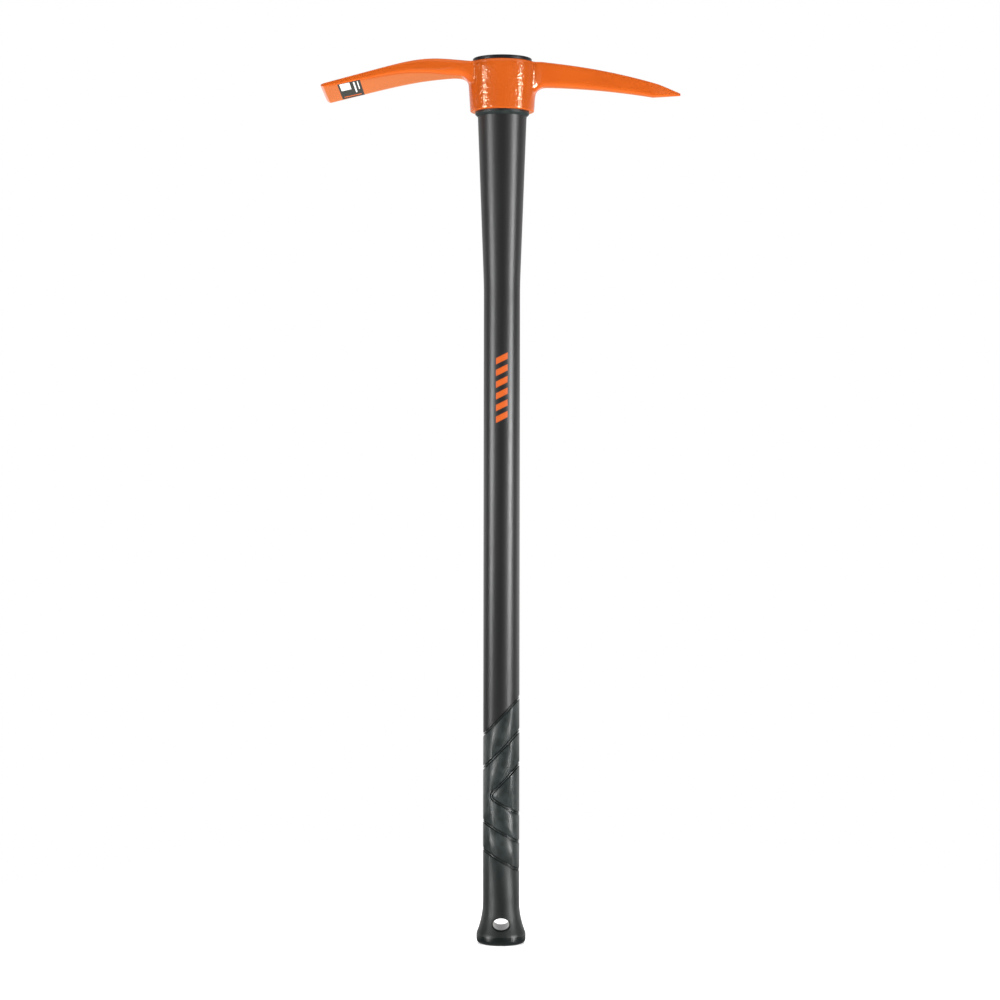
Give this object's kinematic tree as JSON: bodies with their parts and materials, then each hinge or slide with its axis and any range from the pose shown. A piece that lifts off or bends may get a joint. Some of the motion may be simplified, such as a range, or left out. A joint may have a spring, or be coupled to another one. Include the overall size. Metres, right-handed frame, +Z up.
{
  "type": "pick mattock",
  "caption": "Long-handled pick mattock: forged head with a broad adze blade and a pointed pick, bonded to an oval plastic-jacketed fibreglass handle with a grooved rubber grip.",
  "frame": {"origin": "middle of the flat face of the butt, at the lower end of the handle", "axes": "+Z up the handle towards the head, +X along the head towards the pick's tip, -X towards the adze blade, Y across the swing"},
  "size_m": [0.3683, 0.0882, 0.914],
  "materials": {
    "orange_paint": "gloss paint over forged steel",
    "shaft_plastic": "satin",
    "grip_rubber": "matt, fine-grained",
    "cap_plastic": "semi-gloss",
    "glass_fibre": "drawn rod of glass fibre in resin",
    "resin": "cured casting resin"
  },
  "bodies": {
    "root": {"fibreglass_core": "glass_fibre", "handle_jacket": "shaft_plastic", "grip_sleeve": "grip_rubber", "shoulder_collar": "grip_rubber", "mattock_head": "orange_paint", "eye_bond": "resin", "eye_cap": "cap_plastic"}
  },
  "joints": []
}
